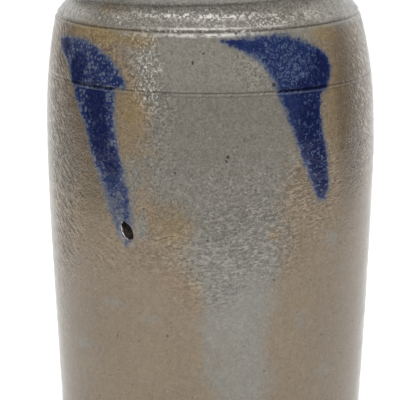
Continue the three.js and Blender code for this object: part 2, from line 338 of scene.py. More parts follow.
def outside_profile():
    """Foot, wall and tooled lines up to the shoulder line, then the shoulder, the collar and the rim."""
    foot_edge = FOOT_R - FOOT_BEVEL
    foot = [(0, 0), (25 * MM, 0), (50 * MM, 0), (foot_edge - 4 * MM, 0), (foot_edge, 0)]
    foot += [(foot_edge + 1.3 * MM, 0.4 * MM), (foot_edge + 2 * MM, 1.2 * MM)]
    levels = [np.arange(FOOT_BEVEL, BELLY_Z, LOWER_STEP), np.arange(BELLY_Z, SHOULDER_Z, UPPER_STEP)]
    for level, width, _ in TOOLED_LINES:
        levels.append(np.arange(level - width, level + width, FINE_STEP))
    levels = np.unique(np.round(np.concatenate(levels), 6))
    levels = levels[levels < SHOULDER_Z]
    wall = list(zip(wall_radius(levels) - tooled_depth(levels), levels))
    crown = curve_through(np.array(SHOULDER_AND_COLLAR) * MM, 3)
    finer = curve_through(np.array(SHOULDER_AND_COLLAR[:3]) * MM, 9)
    crown = np.vstack([finer[:-1], crown[6:]])
    crown[:, 0] -= tooled_depth(crown[:, 1])
    return foot + wall + list(crown)


def inside_profile(inset, step):
    """The inside from under the ledge down to the middle of the floor, moved in by an inset."""
    mouth = MOUTH_R - inset
    close_z = SHOULDER_Z - INNER_SHOULDER
    fillet_z = FLOOR_Z + FLOOR_FILLET
    shoulder = curve_through(
        [
            (mouth, COLLAR_Z),
            (mouth + 2 * MM, SHOULDER_Z + 3 * MM),
            (wall_radius(close_z) - WALL - inset - 2.5 * MM, SHOULDER_Z - 6 * MM),
            (wall_radius(close_z) - WALL - inset, close_z),
        ],
        3,
    )
    levels = np.arange(close_z - step, fillet_z, -step)
    wall = list(zip(wall_radius(levels) - WALL - inset, levels))
    fillet_r = wall_radius(fillet_z) - WALL - FLOOR_FILLET
    turn = np.radians(np.arange(0, -91, -15))
    fillet = [
        (fillet_r + (FLOOR_FILLET - inset) * math.cos(a), fillet_z + (FLOOR_FILLET - inset) * math.sin(a))
        for a in turn
    ]
    floor = [(r * MM, FLOOR_Z + inset) for r in (40, 25, 10)]
    return list(shoulder) + wall + fillet + floor + [(0, FLOOR_Z + inset)]


def hand_thrown(points):
    """Moves the outer skin as the wheel and the kiln left it: slightly oval, ridged and leaning."""
    turn = round_from_front(points)
    radius = radius_of(points)
    z = points[:, 2]
    skin = radius > np.where(z < SHOULDER_Z, wall_radius(z) - WALL / 2, COLLAR_SKIN_R)
    share = smooth(*SWELL_IN, z) * (1 - smooth(*SWELL_OUT, z))
    swell = OVAL_SWELL * np.sin(2 * turn + 0.7) + THREE_LOBED_SWELL * np.sin(3 * turn + 2.1 + z * 30)
    ridges = RIDGE * np.sin(z * math.tau / RIDGE_PITCH + turn)
    grown = np.where(skin, radius + share * (swell + ridges), radius)
    lean = np.interp(z / MM, *LEAN) * MM * skin
    tilt = np.radians(np.interp(z / MM, *TILT)) * skin
    moved = round_axis(grown, turn, z + np.tan(tilt) * points[:, 0])
    moved[:, 0] -= lean
    return moved


def pit_share(points):
    """Places round the stone's pit: 1 at its edge and 0 at its middle, and how far to its right side."""
    across = wrapped(round_from_front(points) - PIT_ANGLE) * BELLY_R
    up = points[:, 2] - PIT_Z
    long_way = (up * math.cos(PIT_TILT) - across * math.sin(PIT_TILT)) / PIT_HALF_HEIGHT
    short_way = (up * math.sin(PIT_TILT) + across * math.cos(PIT_TILT)) / PIT_HALF_WIDTH
    pointed = 1 - PIT_NARROWING * smooth(0, 1, long_way)
    share = np.hypot(short_way / pointed, long_way)
    front = np.abs(across) < PIT_REACH
    return np.where(front, share, 99), np.where(front, short_way, 0)


def dig_pit(piece):
    """Refines the wall round the stone's pit and pushes the pit in."""
    bpy.ops.object.mode_set(mode="EDIT")
    bpy.ops.mesh.select_mode(type="FACE")
    bpy.ops.mesh.select_all(action="DESELECT")
    bpy.ops.object.mode_set(mode="OBJECT")
    polygons = piece.data.polygons
    middles = np.empty(len(polygons) * 3)
    polygons.foreach_get("center", middles)
    middles = middles.reshape(-1, 3)
    near = (pit_share(middles)[0] < PIT_FINE_MESH) & (radius_of(middles) > BELLY_R - PIT_SKIN)
    polygons.foreach_set("select", near)
    bpy.ops.object.mode_set(mode="EDIT")
    bpy.ops.mesh.subdivide(number_cuts=PIT_CUTS)
    bpy.ops.object.mode_set(mode="OBJECT")
    points = points_of(piece)
    radius = radius_of(points)
    share, _ = pit_share(points)
    hole = PIT_DEPTH * (1 - smooth(*PIT_SLOPE, share))
    lip = PIT_LIP_RISE * np.exp(-(((share - PIT_LIP_MIDDLE) / PIT_LIP_WIDTH) ** 2))
    push = np.where(radius > BELLY_R - PIT_SKIN, lip - hole, 0) / np.maximum(radius, MM)
    points[:, :2] *= (1 + push)[:, None]
    move_points(piece, points)


def make_body():
    ledge = [(SEAT_R, SEAT_Z + 0.3 * MM), (SEAT_R - 0.3 * MM, SEAT_Z), (MOUTH_R + 0.4 * MM, SEAT_Z)]
    mouth = [(MOUTH_R, SEAT_Z - 0.4 * MM), (MOUTH_R, SEAT_Z - 6 * MM)]
    profile = outside_profile() + ledge + mouth + inside_profile(0, 12 * MM)
    body = turned("thrown_body", profile, BODY_SEGMENTS)
    move_points(body, hand_thrown(points_of(body)))
    dig_pit(body)
    return body


# Brushed leaves


def stroke_edges(rows, steps):
    near = curve_through([row[0] for row in rows], steps) * MM
    far = curve_through([row[1] for row in rows], steps) * MM
    return near, far


def leaf_outlines(pattern):
    """The two strokes as closed outlines. The stem runs up under the head, so that they join."""
    top_near, top_far = pattern["stem"][0]
    stem_rows = [((top_near[0], 2), (top_far[0], 2))] + pattern["stem"]
    outlines = []
    for rows in (pattern["head"], stem_rows):
        near, far = stroke_edges(rows, 3)
        outlines.append(np.vstack([near, far[::-1]]))
    return outlines


def inside_distance(places, outline):
    """Distance to an outline, positive inside it."""
    start = outline
    end = np.roll(outline, -1, axis=0)
    nearest = np.full(len(places), 1e9)
    inside = np.zeros(len(places), bool)
    for (ax, az), (bx, bz) in zip(start, end):
        run = np.array([bx - ax, bz - az])
        offset = places - (ax, az)
        along = np.clip(offset @ run / max(run @ run, 1e-12), 0, 1)
        nearest = np.minimum(nearest, np.hypot(*(offset - along[:, None] * run).T))
        crosses = (az > places[:, 1]) != (bz > places[:, 1])
        height = bz - az if abs(bz - az) > 1e-12 else 1e-12
        inside ^= crosses & (places[:, 0] < ax + (bx - ax) * (places[:, 1] - az) / height)
    return np.where(inside, nearest, -nearest)


def oval(across, up, half_width, half_height):
    """1 in the middle of a soft oval and 0 outside it."""
    return 1 - smooth(0.35, 1.25, np.hypot(across / half_width, up / half_height))


def leaf_marks(points):
    """How far inside a leaf each point of the wall lies, and how pooled, washed out and flecked it is."""
    turn = round_from_front(points)
    angle, level, size = DROP
    drop = np.hypot(wrapped(turn - math.radians(angle)) * BELLY_R, points[:, 2] - LINE_Z - level * MM)
    dropped = 1.0 * (drop < DROP_SPREAD * size * MM)
    marks = {"pooled": dropped, "wash": DROP_WASH * dropped, "flecks": np.zeros(len(points))}
    inside = np.maximum(size * MM - drop, -COBALT_REACH / 2)
    left, right, low, high = (edge * MM for edge in LEAF_BOX)
    on_wall = radius_of(points) > LEAF_SKIN_R
    for stem_angle, pattern in LEAVES:
        along = wrapped(turn - math.radians(stem_angle)) * BELLY_R
        up = points[:, 2] - LINE_Z
        close = on_wall & (along > left) & (along < right) & (up > low) & (up < high)
        places = np.column_stack([along, up])[close]
        reach = np.max([inside_distance(places, outline) for outline in leaf_outlines(pattern)], axis=0)
        nearest = reach > inside[close]
        chosen = np.flatnonzero(close)[nearest]
        x, z = places[nearest].T / MM
        inside[chosen] = reach[nearest]
        for middle, height, half_width, half_height, strength in pattern["pooled"]:
            pool = strength * oval(x - middle, z - height, half_width, half_height)
            marks["pooled"][chosen] = np.maximum(marks["pooled"][chosen], pool)
        start, stop = pattern["fade"]
        marks["wash"][chosen] = smooth(start, stop, -z)
        marks["flecks"][chosen] = pattern["flecks"]
    return inside, marks


def grown_rows(rows, end_first):
    """The stroke with a margin past its free end and past both edges."""
    near, far = stroke_edges(rows, FILM_STEPS)
    if not end_first:
        near, far = near[::-1], far[::-1]
    middle = (near + far) / 2
    ahead = middle[0] - middle[5]
    ahead *= FILM_MARGIN / np.linalg.norm(ahead)
    near = np.vstack([near[0] + ahead, near[0] + ahead * 0.5, near])
    far = np.vstack([far[0] + ahead, far[0] + ahead * 0.5, far])
    across = far - near
    across *= (FILM_MARGIN / np.maximum(np.linalg.norm(across, axis=1), 0.01 * MM))[:, None]
    return near - across, far + across


def make_film(name, rows, end_first, stem_angle, body):
    """One stroke as a thin film on the wall: a grid laid along the stroke, wrapped on and given a body."""
    near, far = grown_rows(rows, end_first)
    deselect()
    bpy.ops.mesh.primitive_grid_add(x_subdivisions=FILM_COLUMNS, y_subdivisions=len(near) - 1, size=2)
    film = bpy.context.object
    film.name = name
    grid = points_of(film)
    along = np.clip(np.round((grid[:, 1] + 1) / 2 * (len(near) - 1)), 0, len(near) - 1).astype(int)
    across = ((grid[:, 0] + 1) / 2)[:, None]
    place = near[along] * (1 - across) + far[along] * across
    turn = stem_angle + place[:, 0] / BELLY_R
    z = LINE_Z + place[:, 1]
    radius = wall_radius(z) + MM
    move_points(film, round_axis(radius, turn, z))
    face_outwards(film)
    wrap = film.modifiers.new("wrap", "SHRINKWRAP")
    wrap.target = body
    wrap.wrap_mode = "ABOVE_SURFACE"
    wrap.offset = FILM_LIFT
    bpy.ops.object.modifier_apply(modifier=wrap.name)
    depth, _ = leaf_marks(points_of(film))
    group = film.vertex_groups.new(name="film")
    for index, weight in enumerate(smooth(*FILM_EDGE, depth)):
        group.add([index], float(weight), "REPLACE")
    body_up = film.modifiers.new("film", "SOLIDIFY")
    body_up.thickness = FILM
    body_up.offset = 1
    body_up.vertex_group = group.name
    body_up.thickness_vertex_group = FILM_THINNEST
    bpy.ops.object.modifier_apply(modifier=body_up.name)
    film.vertex_groups.clear()
    return film


def face_outwards(piece):
    """Turns an open sheet on the wall so that its faces look away from the axis."""
    outward = sum(
        polygon.normal.x * polygon.center.x + polygon.normal.y * polygon.center.y
        for polygon in piece.data.polygons
    )
    if outward < 0:
        bpy.ops.object.mode_set(mode="EDIT")
        bpy.ops.mesh.select_all(action="SELECT")
        bpy.ops.mesh.flip_normals()
        bpy.ops.object.mode_set(mode="OBJECT")


def make_leaf(index, body):
    """A leaf is two films, joined: the head above the incised line and the stem below it."""
    angle, pattern = LEAVES[index]
    stem_angle = math.radians(angle)
    stem_rows = pattern["stem"]
    if index == len(LEAVES) - 1:
        # This stem runs to the stone's pit, and its film stops short of it
        stem_rows = stem_rows[:-2]
    name = f"brushed_leaf_{index + 1}"
    head = make_film(name, pattern["head"], True, stem_angle, body)
    stem = make_film(name + "_stem", stem_rows, False, stem_angle, body)
    deselect()
    stem.select_set(True)
    head.select_set(True)
    bpy.context.view_layer.objects.active = head
    bpy.ops.object.join()
    bpy.ops.object.shade_smooth_by_angle(angle=math.radians(40))
    return head


# Stone, lining and lid


def make_stone():
    """A lumpy melted bead lying in the bottom of the pit."""
    deselect()
    bpy.ops.mesh.primitive_ico_sphere_add(subdivisions=5, radius=1)
    stone = bpy.context.object
    stone.name = "burnt_iron"
    points = points_of(stone)
    lumps = 1 + 0.10 * np.sin(3.1 * points[:, 0] + 4 * points[:, 2]) + 0.07 * np.sin(7 * points[:, 2] + 2)
    points *= lumps[:, None]
    points *= STONE_HALF_SIZES
    tilt = -PIT_TILT
    x = points[:, 0] * math.cos(tilt) + points[:, 2] * math.sin(tilt)
    z = -points[:, 0] * math.sin(tilt) + points[:, 2] * math.cos(tilt)
    turn = STONE_ANGLE + x / BELLY_R
    radius = float(wall_radius(STONE_Z)) - STONE_SUNK - points[:, 1]
    move_points(stone, round_axis(radius, turn, STONE_Z + z))
    bpy.ops.object.shade_smooth()
    return stone


def make_lining():
    """Brown slip: a skin over the inside, with throwing rings and an uneven upper edge."""
    outer = inside_profile(LINING_BACK, 4 * MM)
    inner = inside_profile(LINING_FACE, 2 * MM)
    edge = [
        (MOUTH_R - LINING_BACK, LINING_TOP), (MOUTH_R - 0.7 * MM, LINING_TOP + 0.1 * MM),
        (MOUTH_R - LINING_FACE, LINING_TOP - 0.6 * MM),
    ]
    lining = turned("poured_lining", outer[::-1] + edge + inner, LINING_SEGMENTS)
    points = points_of(lining)
    turn = round_from_front(points)
    radius = radius_of(points)
    z = points[:, 2]
    on_wall = smooth(*RINGS_IN, z) * (1 - smooth(*RINGS_OUT, z))
    face = radius < wall_radius(z) - WALL - RING_SKIN
    rings = RING_DEPTH * (1 + np.sin(z * math.tau / RING_PITCH + turn)) * on_wall * face
    points[:, :2] *= (1 - rings / np.maximum(radius, MM))[:, None]
    uneven = EDGE_DROP * (1 + np.sin(3 * turn) * np.cos(5 * turn + 1))
    points[:, 2] -= smooth(EDGE_FROM, LINING_TOP, z) * uneven
    move_points(lining, points)
    return lining


def make_lid():
    """Lid disc: a ring that sits on the ledge, a rounded edge, a flat border and a low dome."""
    low, edge_z, top = LID_LOW.z, LID_LOW.z + 6.5 * MM, LID_HIGH.z
    under = offsets([(0, -7), (20, -7)], top)
    under += offsets([(40, 2.9), (52, 2.3), (57, 1.2), (60.2, 0), (64, 0)], low)
    under += offsets([(-0.9, 0), (-0.2, 0.3), (0, 1)], low, LID_R)
    under += offsets([(0, -2.2)], edge_z, LID_R)
    border = [
        (-0.3, -0.9), (-1.1, -0.2), (-2.4, 0), (-5, -0.1), (-7.8, 0), (-8.6, -0.6), (-9.4, 0.2), (-15, 2.1),
    ]
    crown = offsets(border, edge_z, LID_R) + offsets([(40, 2.9), (39, 2.5), (38, 3.1)], edge_z)
    crown = curve_through(crown + offsets([(26, -0.1), (17, 0), (12.3, 0)], top), 5)
    socket = offsets([(12.3, -2), (0, -2)], top)
    profile = under + list(crown) + socket
    return turned("lid_plate", profile, LID_SEGMENTS)


def make_knob():
    """Turned knob: a spread foot, a waist and a rounded cap with a thumb hollow."""
    low, top = KNOB_LOW.z, KNOB_HIGH.z
    stalk = [(12, 2.1), (11.2, 3.2), (9.4, 5), (8.6, 8), (9.4, 11), (12.6, 13.6), (15.2, 15.6)]
    side = offsets(stalk, low) + [(KNOB_R, low + 17.8 * MM)] + offsets([(15.2, 20.2)], low)
    side += offsets([(12.8, -0.3), (10, 0), (6.5, -0.7), (3, -1.7), (0, -1.9)], top)
    foot = offsets([(0, 0), (8, 0), (11.8, 0), (12, 0.3)], low)
    return turned("lid_grip", foot + list(curve_through(side, 5)), KNOB_SEGMENTS)


# Marks of the kiln, and where painted highlights and painted shade go, kept as attributes of the surface

# Edges of the grey zone on the front: height over the incised line in millimetres, angle in degrees
GREY_LEFT = [
    (-165, 4), (-135, -2), (-98, -3.5), (-84, -12), (-70, -9), (-45, -22), (-10, -21), (15, -28),
    (26, -32), (31, -95),
]
GREY_RIGHT = [
    (-165, 21), (-135, 20), (-112, 22), (-92, 27), (-60, 24), (-20, 32), (10, 40), (24, 42), (31, 95),
]

# Gold and grey patches: angle in degrees, height over the incised line in millimetres, half width and
# half height in the same units, strength
GOLD_PATCHES = [
    (-42, 25, 22, 6, 1.0), (-27, 25, 9, 6, 0.9), (47, 26, 10, 4, 0.8), (-27, -12, 6, 24, 0.9),
    (-8, -98, 8, 22, 0.4), (-40, 38, 10, 5, 0.6), (22.6, -72, 3.5, 5, 0.8), (-13, -66, 9, 12, 0.9),
    (30, -112, 11, 24, 0.4), (50, -28, 9, 46, 0.35), (-44, -68, 12, 30, 0.4), (-25, -150, 40, 40, 0.35),
    (150, -30, 30, 40, 0.8), (-130, -80, 24, 40, 0.7), (100, -110, 26, 30, 0.7), (-170, 20, 30, 12, 0.8),
]
GREY_PATCHES = [
    (-36, -110, 7, 4, 0.55), (-22, -117, 6, 5, 0.5), (-52, -135, 8, 6, 0.5), (-24, -148, 6, 5, 0.4),
    (36, -118, 8, 9, 0.4), (46, -79, 5, 8, 0.5), (46, -148, 7, 6, 0.5), (-28, -56, 5, 10, 0.5),
    (-23.5, -68, 3.5, 10, 0.7), (-27, -42, 6, 14, 0.7), (120, -60, 22, 50, 0.8), (-150, -20, 20, 60, 0.8),
]
# Zones of rough, furrowed, glinting, rippled and smoked glaze, where glinting places painted highlights and
# smoked darkens for kiln smoke and painted shade: the same five numbers
ROUGH_ZONES = [
    (-24, 10, 9, 22, 1.0), (-18, -10, 8, 20, 0.85), (-24, 25, 9, 9, 0.9), (-62, -50, 18, 60, 1.0),
    (76, 0, 20, 60, 0.6), (0, 36, 80, 9, 1.0), (-45, 12, 18, 20, 0.9), (28, 12, 24, 18, 0.8),
    (8, -62, 40, 44, 0.45), (-20, -45, 14, 40, 0.5), (37, -28, 9, 40, 0.7), (-36, -34, 10, 44, 0.6),
    (120, 0, 40, 60, 0.7), (-120, -40, 40, 60, 0.7),
]
FURROW_ZONES = [
    (-64, -60, 15, 42, 1.0), (-76, 0, 20, 50, 1.0), (-72, -116, 10, 44, 0.5), (76, -6, 20, 62, 0.6),
    (-34, -84, 16, 13, 0.18), (150, -60, 36, 40, 0.6), (-140, -70, 30, 36, 0.6),
]
# The glinting zones say where pale painted highlights go on ridges and crests
GLINT_ZONES = [
    (-4, 36.6, 30, 2.2, 1.0), (-38, 33.2, 9, 1.9, 1.0), (22, 34, 11, 3.4, 1.0), (40, 35, 9, 2.2, 0.7),
    (-21, 6, 7, 20, 0.62), (-24, 26, 8, 7, 0.45), (0, 29.5, 23, 3.6, 1.0), (-45, 10, 12, 14, 0.3),
    (8, -60, 40, 60, 0.14), (-78, -30, 20, 60, 0.4), (76, -10, 20, 60, 0.35), (140, 34, 40, 4, 0.6),
    (-140, 34, 40, 4, 0.6), (110, -20, 30, 40, 0.25), (-120, -20, 30, 40, 0.25),
]
RIPPLE_ZONES = [
    (16, -72, 24, 28, 1.0), (0, -92, 16, 22, 0.8), (38, -48, 14, 26, 1.4), (62, -42, 13, 22, 0.9),
    (-16, -80, 14, 16, 0.8),
]
# These darken the glaze: partly kiln smoke, partly painted shade in the cove under the collar and down the
# sides
SMOKE_AND_SHADE_ZONES = [
    (-58, -28, 17, 38, 1.0), (-63, 14, 9, 22, 0.8), (-44, -46, 14, 26, 0.8), (57, -12, 11, 60, 0.95),
    (0, 40.5, 46, 3.6, 0.75), (-43, 43.5, 15, 7, 1.0), (-60, 43, 10, 7, 1.0), (44, 43, 15, 6, 0.55),
    (4, -66, 14, 14, 0.35), (170, -60, 30, 60, 0.6), (-13, -63, 11, 13, 0.45), (-6, -90, 8, 10, 0.3),
]
# Pale salt on the sides of the shoulder
BLOOM_ZONES = [(60, 37, 22, 9, 0.8), (-64, 33, 13, 4.5, 0.8), (130, 36, 30, 8, 0.5), (-150, 36, 24, 8, 0.5)]
# Attributes that hold a table of patches as it is, and those that fade out at the seam of the unrolled wall
PATCH_MARKS = {"gold": GOLD_PATCHES, "smoke_and_shade": SMOKE_AND_SHADE_ZONES, "bloom": BLOOM_ZONES, "glint": GLINT_ZONES}
SEAMED_MARKS = {"furrow": FURROW_ZONES, "ripple": RIPPLE_ZONES}
# Where glaze gives way to bare clay: levels at the foot, levels and radii at the ledge, levels on the lid
BARE_FOOT = (0.2 * MM, 1.6 * MM)
BARE_LEDGE = (SEAT_Z - 3 * MM, SEAT_Z - MM)
BARE_LEDGE_R = (67.9 * MM, 69.5 * MM)
BARE_LID = (LID_LOW.z + 1.2 * MM, LID_LOW.z + 4 * MM)
LID_GRAIN = 0.8


def patches(turn, up, places):
    """Soft oval patches on the wall, the strongest at each point."""
    strongest = np.zeros(len(turn))
    for angle, level, half_width, half_height, strength in places:
        across = np.degrees(wrapped(turn - math.radians(angle)))
        strongest = np.maximum(strongest, strength * oval(across, up - level, half_width, half_height))
    return strongest


def set_attribute(piece, name, values):
    attribute = piece.data.attributes.new(name, "FLOAT", "POINT")
    attribute.data.foreach_set("value", values.astype(np.float32))


def unroll(piece):
    """A UV map in metres: round the axis and up, so that streaks can follow the wall."""
    mesh = piece.data
    turn = round_from_front(points_of(piece))
    up = points_of(piece)[:, 2]
    corners = np.empty(len(mesh.loops), int)
    mesh.loops.foreach_get("vertex_index", corners)
    first = np.empty(len(mesh.polygons), int)
    count = np.empty(len(mesh.polygons), int)
    mesh.polygons.foreach_get("loop_start", first)
    mesh.polygons.foreach_get("loop_total", count)
    anchor = np.repeat(turn[corners[first]], count)
    around = anchor + wrapped(turn[corners] - anchor)
    layer = mesh.uv_layers.new(name="unrolled")
    layer.data.foreach_set("uv", np.column_stack([around * BELLY_R, up[corners]]).ravel())


def mark_glaze(piece):
    """Writes what the kiln did at each point of a piece of the wall, and where painted highlights and
    painted shade go.
    """
    points = points_of(piece)
    turn = round_from_front(points)
    degrees = np.degrees(turn)
    up = (points[:, 2] - LINE_Z) / MM
    left = np.interp(up, *zip(*GREY_LEFT))
    right = np.interp(up, *zip(*GREY_RIGHT))
    soft = np.interp(up, [-120, -60, 0], [9, 11, 13])
    grey = smooth(left - soft, left + soft, degrees) * (1 - smooth(right - soft, right + soft, degrees))
    back = smooth(70, 100, np.abs(degrees))
    grey = np.maximum(grey, back * (0.5 + 0.5 * np.sin(4 * turn + 0.8)))
    grey = np.maximum(grey, patches(turn, up, GREY_PATCHES))
    inside, marks = leaf_marks(points)
    seam = smooth(0.05, 0.25, math.pi - np.abs(turn))
    calm = np.interp(up, [-190, -110, -60], [0.12, 0.18, 0.25])
    pit, side = pit_share(points)
    marks["toast"] = 1 - grey
    marks["rough"] = np.maximum(calm, patches(turn, up, ROUGH_ZONES))
    marks["cobalt"] = np.clip(0.5 + inside / COBALT_REACH, 0, 1)
    marks["pit"] = np.clip(1 - pit / 2, 0, 1)
    marks["pit_side"] = np.clip(0.5 + side / 3, 0, 1)
    for name, places in PATCH_MARKS.items():
        marks[name] = patches(turn, up, places)
    for name, places in SEAMED_MARKS.items():
        marks[name] = patches(turn, up, places) * seam
    radius = radius_of(points)
    foot = 1 - smooth(*BARE_FOOT, points[:, 2])
    ledge = smooth(*BARE_LEDGE, points[:, 2]) * (1 - smooth(*BARE_LEDGE_R, radius))
    marks["bare"] = np.maximum(foot, ledge)
    for name, values in marks.items():
        set_attribute(piece, name, values)
    unroll(piece)


def mark_lid(piece):
    """The lid has the crock's glaze on top and bare clay where it sits on the ledge."""
    points = points_of(piece)
    turn = round_from_front(points)
    radius = radius_of(points)
    set_attribute(piece, "toast", 0.5 + 0.4 * np.sin(turn + 1.2) * smooth(0, LID_R, radius))
    set_attribute(piece, "gold", 0.5 * smooth(0.3, 1, np.cos(turn - 2.4)) * smooth(20 * MM, LID_R, radius))
    set_attribute(piece, "bare", 1 - smooth(*BARE_LID, points[:, 2]))
    set_attribute(piece, "rough", np.full(len(points), LID_GRAIN))
    unroll(piece)


# Materials


def srgb(red, green, blue):
    """A colour given as the screen shows it, in linear light."""
    linear = [((c / 255 + 0.055) / 1.055) ** 2.4 if c > 10 else c / 255 / 12.92 for c in (red, green, blue)]
    return (*linear, 1.0)


GREY_HIGH = srgb(137, 133, 123)
GLAZE_GREY = srgb(127, 123, 113)
# Paler towards the foot, in part painted light
GREY_LOW = srgb(136, 133, 124)
GLAZE_BROWN = srgb(136, 119, 97)
GLAZE_GOLD = srgb(144, 125, 92)
# Painted shade in the tooled grooves
GROOVE_SHADE = srgb(158, 150, 138)
# Colour of the painted highlights
GLINT = srgb(226, 223, 217)
SALT = srgb(174, 170, 160)
BARE_CLAY = srgb(150, 122, 92)
COBALT_DEEP = srgb(19, 28, 70)
COBALT = srgb(31, 45, 90)
COBALT_FIBRE = srgb(92, 108, 141)
COBALT_THIN = srgb(76, 86, 106)
COBALT_HALO = srgb(98, 101, 112)
COBALT_LINE = srgb(8, 10, 28)
FLECK = srgb(114, 123, 136)
IRON = srgb(34, 25, 18)
# Pale lip round the pit, also the pit's inner wall as a painted highlight
PIT_LIP_AND_LIT_WALL = srgb(148, 146, 152)
PIT_EDGE = srgb(52, 56, 78)
# Burnt core of the pit, also its painted shade
PIT_CORE = srgb(24, 17, 13)
SLIP_DARK = srgb(58, 33, 20)
SLIP_RED = srgb(96, 56, 30)
SLIP_SPECK = srgb(40, 24, 16)
BURNT_BLACK = srgb(10, 7, 5)
RUST = srgb(58, 36, 22)

GLAZE_IOR = 1.6
# Depth of each finish's relief
GLAZE_RELIEF = 0.7 * MM
SLIP_RELIEF = 0.06 * MM
RUST_RELIEF = 0.3 * MM
# Streaks in the glaze: angle, length, width and wander
FURROWS = (math.radians(-36), 5.6 * MM, 1.75 * MM, 0.45)
RIPPLES = (math.radians(8), 3.0 * MM, 1.1 * MM, 1.0)


# Painted light and shade by level, how light the wall is: two levels in metres and the share at each
LIGHT_BY_LEVEL = [(0.0, 0.06, 0.87, 0.955), (0.06, 0.12, 1.0, 1.05), (0.13, 0.17, 1.04, 1.0)]
# Levels in metres between which the grey of the foot, the belly and the shoulder change over; the paler
# grey of the foot is in part painted light
BELLY_GREY_LEVELS = (0.10, 0.14)
SHOULDER_GREY_LEVELS = (0.192, 0.206)


class Nodes:
    """Adds nodes to one node tree, and sets or links each input."""

    def __init__(self, tree):
        self.tree = tree

    def add(self, kind, inputs=(), **settings):
        node = self.tree.nodes.new(kind)
        for name, value in settings.items():
            setattr(node, name, value)
        for name, value in dict(inputs).items():
            self.give(node.inputs[name], value)
        return node

    def give(self, socket, value):
        if isinstance(value, bpy.types.NodeSocket):
            self.tree.links.new(value, socket)
        else:
            socket.default_value = value

    def math(self, operation, a, b=0.0, clamp=False):
        return self.add("ShaderNodeMath", {0: a, 1: b}, operation=operation, use_clamp=clamp).outputs[0]

    def mix(self, factor, a, b):
        return self.add("ShaderNodeMix", {0: factor, 6: a, 7: b}, data_type="RGBA").outputs[2]

    def tint(self, factor, a, b):
        inputs = {0: factor, 6: a, 7: b}
        return self.add("ShaderNodeMix", inputs, data_type="RGBA", blend_type="MULTIPLY").outputs[2]

    def ease(self, value, low, high, to_low=0.0, to_high=1.0):
        inputs = {"Value": value, "From Min": low, "From Max": high, "To Min": to_low, "To Max": to_high}
        return self.add("ShaderNodeMapRange", inputs, interpolation_type="SMOOTHSTEP").outputs[0]

    def noise(self, vector, scale, detail=2.0, roughness=0.5, distortion=0.0):
        inputs = {"Vector": vector, "Scale": scale, "Detail": detail, "Roughness": roughness}
        inputs["Distortion"] = distortion
        return self.add("ShaderNodeTexNoise", inputs).outputs["Fac"]

    def centred(self, value, size):
        return self.math("MULTIPLY", self.math("SUBTRACT", value, 0.5), size)

    def uneven(self, place, scale, size, detail=2.0, roughness=0.6, distortion=0.0):
        return self.centred(self.noise(place, scale, detail, roughness, distortion), size)

    def away(self, value, middle):
        return self.math("ABSOLUTE", self.math("SUBTRACT", value, middle))

    def most(self, a, b):
        return self.math("MAXIMUM", a, b)

    def total(self, *values):
        result = values[0]
        for value in values[1:]:
            result = self.math("ADD", result, value)
        return result

    def product(self, *values):
        result = values[0]
        for value in values[1:]:
            result = self.math("MULTIPLY", result, value)
        return result

    def attribute(self, name):
        return self.add("ShaderNodeAttribute", attribute_name=name).outputs["Fac"]

    def place(self):
        return self.add("ShaderNodeTexCoord").outputs["Object"]

    def streaks(self, vector, angle, length, width, wander):
        turn = {"Vector": vector, "Rotation": (0, 0, angle), "Scale": (length, width, 1)}
        laid = self.add("ShaderNodeMapping", turn, vector_type="TEXTURE").outputs[0]
        return self.noise(laid, 1.0, 2.0, 0.5, wander)

    def surface(self, height, depth, strength, inputs):
        """Ends a material with a Principled shader and the bump of a height."""
        relief = {"Height": height, "Distance": depth, "Strength": strength}
        normal = self.add("ShaderNodeBump", relief).outputs[0]
        shader = self.add("ShaderNodeBsdfPrincipled", {**inputs, "Normal": normal})
        self.give(self.add("ShaderNodeOutputMaterial").inputs[0], shader.outputs[0])


def new_material(name):
    """A material without nodes, and what adds nodes to it."""
    material = bpy.data.materials.new(name)
    material.use_nodes = True
    material.node_tree.nodes.clear()
    return material, Nodes(material.node_tree)


def node_group(name, inputs, outputs):
    """A new shader node group with named number sockets, or vectors where the name says so."""
    tree = bpy.data.node_groups.new(name, "ShaderNodeTree")
    for socket in inputs:
        kind = "NodeSocketVector" if socket in ("Place", "Unrolled") else "NodeSocketFloat"
        tree.interface.new_socket(socket, in_out="INPUT", socket_type=kind)
    for socket in outputs:
        tree.interface.new_socket(socket, in_out="OUTPUT", socket_type="NodeSocketFloat")
    nodes = Nodes(tree)
    return tree, nodes, nodes.add("NodeGroupInput").outputs, nodes.add("NodeGroupOutput").inputs


def make_salt_grain():
    """Orange-peel relief of salt glaze, in millimetres, with furrows and ripples where it crawled."""
    given_names = ["Place", "Unrolled", "Rough", "Furrow", "Ripple"]
    tree, nodes, given, out = node_group("salt_grain", given_names, ["Height", "Shade", "Thread", "Ridge"])
    worm = nodes.uneven(given["Place"], 620, 0.95, 1.0, 0.5, 0.9)
    fine = nodes.uneven(given["Place"], 1000, nodes.ease(given["Rough"], 0.1, 0.6, 0.2, 0.55), 1.0, 0.5)
    along = given["Unrolled"]
    furrow = nodes.centred(nodes.streaks(along, *FURROWS), 2.3)
    ripple = nodes.centred(nodes.streaks(along, *RIPPLES), 1.1)
    thread = nodes.total(
        nodes.product(worm, given["Rough"]),
        nodes.product(furrow, given["Furrow"]),
        nodes.product(ripple, given["Ripple"]),
    )
    height = nodes.math("ADD", thread, fine)
    nodes.give(out["Height"], height)
    nodes.give(out["Shade"], nodes.ease(height, -0.2, 0.2, 0.62, 1.32))
    nodes.give(out["Thread"], thread)
    nodes.give(out["Ridge"], nodes.ease(thread, 0.05, 0.15))
    return tree


